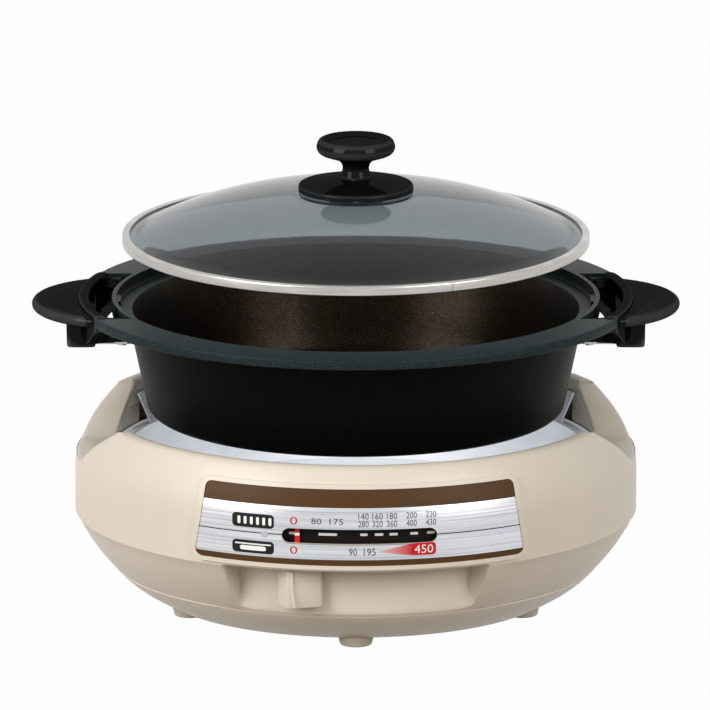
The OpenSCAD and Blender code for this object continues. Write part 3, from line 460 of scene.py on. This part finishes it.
def cutAt(bm, axis, places):    # cuts across one axis, so that a flat face can bend
    for place in places:
        co, no = Vector(), Vector()
        co[axis], no[axis] = place * mm, 1
        bmesh.ops.bisect_plane(bm, geom=bm.verts[:] + bm.edges[:] + bm.faces[:],
                               plane_co=co, plane_no=no, dist=panel["weld"] * mm)


def makePanel():
    bm = meshFromNode("control_panel")
    bmesh.ops.triangulate(bm, faces=bm.faces)
    cutAt(bm, 0, panel["cutsAcross"])
    cutAt(bm, 2, [panel["topBand"], panel["lowBand"], *panel["cutsUp"]])
    for v in bm.verts:
        reach = panelRadius(v.co.z / mm) * mm
        if abs(v.co.xy.length - reach) < panel["near"] * mm:
            v.co.y = -math.sqrt(reach ** 2 - v.co.x ** 2)
    for face in bm.faces:
        z = face.calc_center_median().z / mm
        face.material_index = 0 if panel["lowBand"] < z < panel["topBand"] else 1
    softenEdges(bm, copies["crease"])
    coats = [finish["panel_aluminium"], inks["brown"]]
    piece = pieceFrom("control_panel_smooth", bm, coats, "base")
    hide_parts("control_panel")


# Prints on the panel and on the scale behind its slot, in millimetres across and up
prints = {
    "lift": 0.03,           # clearance of the ink over the plate
    "film": 0.05,           # thickness of the ink
    "overlap": 0.02,        # clearance of white ink over the ink below it
    "cutsAcross": range(-117, 118, 3),
    "cutsUp": range(81, 127, 3),
    "midZ": 95.4,           # middle of the slot and of the line at its ends
    "lines": [(-111.8, -51.5), (56.5, 116.8)],
    "lineHalf": 0.35,
    "lineCorner": 0.1,
    "pills": [(-85.9, -56.9, 98.9, 108.7), (-85.8, -56.9, 80.6, 89.6)],
    "pillCorner": 2.6,
    "ribs": [-82.2 + 4.3 * i for i in range(6)],        # left edges of the upper pill's ribs
    "ribWidth": 2.0,
    "ribInset": 2.2,
    "ribCorner": 0.8,
    "plates": [             # left, right, heights in the lower pill, corner
        (-80.5, -62.5, 2.0, 5.2, 1.4),
        (-84.0, -59.0, 6.0, 7.0, 0.4),
    ],
    "zeros": [("0", -43.2, 105.8, 5.2, 5.4), ("0", -43.2, 84.9, 5.2, 5.4)],
    "numbers": [            # text, middle across and up, width, height
        ("80", -27.5, 106, 7.0, 4.1),
        ("175", -13.5, 106, 9.6, 4.1),
        ("90", -2.0, 84.5, 5.6, 5.2),
        ("195", 9.6, 84.5, 8.4, 5.2),
    ],
    "columns": [5.3, 15.1, 25.1, 38.7, 52.2],
    "rows": [(109.8, ["140", "160", "180", "200", "220"]), (104.4, ["280", "320", "360", "400", "430"])],
    "rowSize": (7.2, 4.4),
    "hotBox": (39.0, 55.7, 81.2, 90.0),
    "hotTail": [(15.6, 84.4), (40.0, 81.2), (40.0, 90.0), (15.6, 84.8)],
    "hotNumber": ("450", 47.2, 85.6, 13.0, 6.0),
    "stripR": 190.4,        # radius of the scale strip
    "stripLift": 0.12,
    "dashes": [
        (-46.4, -39.4), (-26.0, -13.1), (3.0, 8.1), (13.2, 19.0), (23.3, 29.1), (37.8, 43.2), (49.4, 54.8),
    ],
    "dashLow": -1.0,        # edges of a dash, from the middle of the slot
    "dashHigh": 0.8,
    "dashCorner": 0.5,
}


def standUp(bm, verts, x, z, width, height):    # fits a flat shape to a size and stands it in its place
    spans = [(min(v.co[i] for v in verts), max(v.co[i] for v in verts)) for i in (0, 1)]
    (left, right), (low, high) = spans
    bmesh.ops.translate(bm, vec=(-(left + right) / 2, -(low + high) / 2, 0), verts=verts)
    bmesh.ops.scale(bm, vec=(width * mm / (right - left), height * mm / (high - low), 1), verts=verts)
    bmesh.ops.rotate(bm, cent=(0, 0, 0), matrix=Matrix.Rotation(math.pi / 2, 3, "X"), verts=verts)
    bmesh.ops.translate(bm, vec=(x * mm, 0, z * mm), verts=verts)


def addBox(bm, left, right, low, high, corner, segments=5):
    verts = bmesh.ops.create_grid(bm, x_segments=1, y_segments=1, size=0.5)["verts"]
    standUp(bm, verts, (left + right) / 2, (low + high) / 2, right - left, high - low)
    bmesh.ops.bevel(bm, geom=verts, offset=corner * mm, offset_type="OFFSET", segments=segments, profile=0.5,
                    affect="VERTICES", clamp_overlap=True, material=-1)


def addNumber(bm, text, x, z, width, height):
    curve = bpy.data.curves.new("number", "FONT")
    curve.body = text
    curve.resolution_u = 3
    holder = bpy.data.objects.new("number", curve)
    mesh = bpy.data.meshes.new_from_object(holder)
    bpy.data.objects.remove(holder)
    known = set(bm.verts)
    bm.from_mesh(mesh)
    bpy.data.meshes.remove(mesh)
    standUp(bm, [v for v in bm.verts if v not in known], x, z, width, height)


def wrapPrint(bm, radiusAt, lift):      # bends a flat print round the panel and gives it the ink's thickness
    bmesh.ops.remove_doubles(bm, verts=bm.verts, dist=panel["weld"] * mm)
    cutAt(bm, 0, prints["cutsAcross"])
    cutAt(bm, 2, prints["cutsUp"])
    grown = bmesh.ops.extrude_face_region(bm, geom=bm.faces[:])["geom"]
    raised = {g for g in grown if isinstance(g, bmesh.types.BMVert)}
    for v in bm.verts:
        reach = (radiusAt(v.co.z / mm) + lift + (prints["film"] if v in raised else 0)) * mm
        v.co.y = -math.sqrt(reach ** 2 - v.co.x ** 2)
    bmesh.ops.recalc_face_normals(bm, faces=bm.faces)


def makePrints():
    dark, red, grey, fade, white, marks = (bmesh.new() for i in range(6))
    midZ = prints["midZ"]
    for left, right in prints["lines"]:
        addBox(dark, left, right, midZ - prints["lineHalf"], midZ + prints["lineHalf"],
               prints["lineCorner"], segments=1)
    for pill in prints["pills"]:
        addBox(dark, *pill, prints["pillCorner"])
    for zero in prints["zeros"]:
        addNumber(red, *zero)
    addBox(red, *prints["hotBox"], prints["pillCorner"])
    for number in prints["numbers"]:
        addNumber(grey, *number)
    for z, texts in prints["rows"]:
        for x, text in zip(prints["columns"], texts):
            addNumber(grey, text, x, z, *prints["rowSize"])
    fade.faces.new([fade.verts.new((x * mm, 0, z * mm)) for x, z in prints["hotTail"]])
    # White marks lie on the pills and the red box
    low, high = prints["pills"][0][2:]
    for left in prints["ribs"]:
        addBox(white, left, left + prints["ribWidth"], low + prints["ribInset"], high - prints["ribInset"],
               prints["ribCorner"])
    low = prints["pills"][1][2]
    for left, right, start, end, corner in prints["plates"]:
        addBox(white, left, right, low + start, low + end, corner)
    addNumber(white, *prints["hotNumber"])
    for left, right in prints["dashes"]:
        addBox(marks, left, right, midZ + prints["dashLow"], midZ + prints["dashHigh"], prints["dashCorner"])

    onPlate, onInk = prints["lift"], prints["lift"] + prints["film"] + prints["overlap"]
    layers = [
        ("panel_dark_ink", dark, "black", onPlate), ("panel_red_ink", red, "red", onPlate),
        ("panel_grey_ink", grey, "grey", onPlate), ("panel_fade_ink", fade, "fade", onPlate),
        ("panel_white_ink", white, "white", onInk),
    ]
    for name, bm, ink, lift in layers:
        wrapPrint(bm, panelRadius, lift)
        pieceFrom(name, bm, [inks[ink]], "base")
    wrapPrint(marks, lambda z: prints["stripR"], prints["stripLift"])
    pieceFrom("scale_white_ink", marks, [inks["white"]], "base")


makePanel()
makePrints()
print("panel made")


# Rib for the finger on the lever grip, butt joint in the lid's band, and the pointer's own dash
rib = {
    "angle": -103.6, "width": 1.8, "depth": 4.4, "proud": 1.5, "round": 0.6,
    "lean": 2.0,            # how far the foot of the rib sweeps to the right
    "inset": 0.5,           # from the ends of the grip
    "cuts": 7,
    "crease": 40,
}
seam = {"angle": -65.7, "width": 0.45, "height": 5.4, "depth": 0.6, "proud": 0.06}
dash = {"depth": 0.3, "width": 3.3, "height": 1.8, "proud": 0.05, "drop": 0.1, "tip": 0.1}


def placeBlock(bm, size, angle, middle, z):     # block at a radius and a height, turned round the axis
    bmesh.ops.scale(bm, vec=[side * mm for side in size], verts=bm.verts)
    bmesh.ops.translate(bm, vec=(middle, 0, z), verts=bm.verts)
    turn = Matrix.Rotation(math.radians(angle), 3, "Z")
    bmesh.ops.rotate(bm, cent=(0, 0, 0), matrix=turn, verts=bm.verts)


def makeRib():
    low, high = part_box("lever_grip")
    tip = max(v.co.xy.length for v in nodes["lever_grip"].data.vertices)
    bm = bmesh.new()
    bmesh.ops.create_cube(bm, size=1)
    tall = [e for e in bm.edges if abs(e.verts[0].co.z - e.verts[1].co.z) > 0.5]
    bmesh.ops.subdivide_edges(bm, edges=tall, cuts=rib["cuts"], use_grid_fill=True)
    for v in bm.verts:
        v.co.y += rib["lean"] / rib["width"] * (0.5 - v.co.z) ** 3
    height = (high[2] - low[2]) / mm - 2 * rib["inset"]
    placeBlock(bm, (rib["depth"], rib["width"], height), rib["angle"],
               tip + (rib["proud"] - rib["depth"] / 2) * mm, (low[2] + high[2]) / 2)
    bevelSharp(bm, rib["crease"], rib["round"])
    softenEdges(bm, rib["crease"])
    pieceFrom("lever_rib", bm, [finish["housing_plastic"]], bodyOf["lever_grip"])


def makeSeam():
    low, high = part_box("lid_band")
    bm = bmesh.new()
    bmesh.ops.create_cube(bm, size=1)
    placeBlock(bm, (seam["depth"], seam["width"], seam["height"]), seam["angle"],
               high[0] + (seam["proud"] - seam["depth"] / 2) * mm, (low[2] + high[2]) / 2)
    pieceFrom("band_seam", bm, [finish["heater_steel"]], bodyOf["lid_band"])


def makePointerDash():
    blade = [v.co for v in nodes["pointer"].data.vertices if v.co.z > prints["midZ"] * mm]
    tip = max(co.xy.length for co in blade)
    face = [co for co in blade if co.xy.length > tip - dash["tip"] * mm]
    middle = sum(face, Vector()) / len(face)
    bm = bmesh.new()
    bmesh.ops.create_cube(bm, size=1)
    placeBlock(bm, (dash["depth"], dash["width"], dash["height"]),
               math.degrees(math.atan2(middle.y, middle.x)),
               tip + (dash["proud"] - dash["depth"] / 2) * mm, (prints["midZ"] - dash["drop"]) * mm)
    pieceFrom("pointer_white_ink", bm, [inks["white"]], bodyOf["pointer"])


makeRib()
makeSeam()
makePointerDash()
print("rib, seam and dash made")


# Floor, sky and lamps
studio = {
    "floorSize": 30,
    "floorTone": "#908678",
    "skyLight": 0.32,       # what the sky gives to matt surfaces
    "paperGlow": 0.985,     # share of plain white in the floor where the camera sees it
    "aim": (0, 0, 0.15),    # what the lamps point at
    "lamps": [              # name, place, size, watts
        ("keyBox", (-2.4, -1.8, 1.5), 1.8, 84),
        ("fillBox", (2.1, -2.2, 1.5), 1.6, 52),
        ("wellBox", (0.0, -2.2, 1.5), 1.0, 56),
    ],
}


def showWhite(tree):    # one where the camera, a mirror or a glass looks straight at it
    path = addNode(tree, "LightPath").outputs
    seen = addNode(tree, "Math", {"operation": "MAXIMUM"},
                   {0: path["Is Camera Ray"], 1: path["Is Glossy Ray"]})
    return addNode(tree, "Math", {"operation": "MAXIMUM"}, {0: seen, 1: path["Is Transmission Ray"]})


def makeFloor():
    bm = bmesh.new()
    bmesh.ops.create_grid(bm, x_segments=1, y_segments=1, size=studio["floorSize"] / 2)
    mesh = bpy.data.meshes.new("studioFloor")
    bm.to_mesh(mesh)
    bm.free()
    floor = bpy.data.objects.new("studioFloor", mesh)
    bpy.context.scene.collection.objects.link(floor)
    # Studio paper: matt, and plain white to the eye, with a faint shadow left on it
    material = bpy.data.materials.new("studioPaper")
    material.use_nodes = True
    tree = material.node_tree
    tree.nodes.clear()
    paper = addNode(tree, "BsdfDiffuse", {"Color": hexColour(studio["floorTone"])})
    glow = addNode(tree, "Emission", {"Color": (1, 1, 1, 1), "Strength": 1})
    share = addNode(tree, "Math", {"operation": "MULTIPLY", 1: studio["paperGlow"]}, {0: showWhite(tree)})
    mix = addNode(tree, "MixShader", links={"Fac": share, 1: paper, 2: glow})
    addNode(tree, "OutputMaterial", links={"Surface": mix})
    mesh.materials.append(material)


def makeSky():
    world = bpy.data.worlds.new("studioSky")
    bpy.context.scene.world = world
    world.use_nodes = True
    tree = world.node_tree
    tree.nodes.clear()
    strength = addNode(tree, "MapRange", {"To Min": studio["skyLight"], "To Max": 1.0},
                       {"Value": showWhite(tree)})
    sky = addNode(tree, "Background", {"Color": (1, 1, 1, 1)}, {"Strength": strength})
    addNode(tree, "OutputWorld", links={"Surface": sky})


def groupOf(name, piece):
    group = bpy.data.collections.new(name)
    group.objects.link(piece)
    return group


def makeLamps():
    for name, place, size, watts in studio["lamps"]:
        data = bpy.data.lights.new(name, "AREA")
        data.size = size
        data.energy = watts
        lamp = bpy.data.objects.new(name, data)
        bpy.context.scene.collection.objects.link(lamp)
        lamp.location = place
        sight = Vector(studio["aim"]) - Vector(place)
        lamp.rotation_euler = sight.to_track_quat("-Z", "Y").to_euler()
        if name == "wellBox":   # lights the bare liner only, as if the pan were not over it
            lamp.light_linking.receiver_collection = groupOf("liner", pieces["reflector_dish"])
            lamp.light_linking.blocker_collection = groupOf("linerShade", pieces["base_shell"])


makeFloor()
makeSky()
makeLamps()
bpy.context.scene.view_settings.view_transform = "Standard"
print("studio made")
